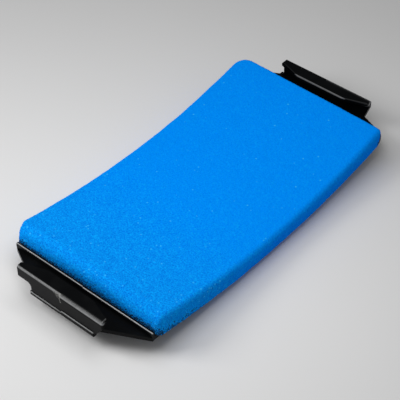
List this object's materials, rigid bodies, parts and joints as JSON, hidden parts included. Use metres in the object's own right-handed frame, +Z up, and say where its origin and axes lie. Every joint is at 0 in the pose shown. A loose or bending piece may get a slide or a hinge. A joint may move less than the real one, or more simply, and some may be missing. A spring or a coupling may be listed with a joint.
{
  "type": "vacuum foam filter",
  "caption": "Curved rectangular vacuum cleaner filter: a blue open-cell foam pad lying on a black plastic grid frame with a tapered tab and an upturned, folded lip at each end.",
  "frame": {"origin": "on the surface that the tray's lowest line rests on, below the middle of the object", "axes": "+X along the length, from one tab to the other; +Y across the width; +Z up, from the grid towards the foam"},
  "size_m": [0.1772, 0.08, 0.0194],
  "materials": {
    "black_plastic": "satin black injection moulding",
    "blue_foam": "matte open-cell foam"
  },
  "bodies": {
    "root": {"frame": "black_plastic", "foam_pad": "blue_foam"}
  },
  "joints": []
}
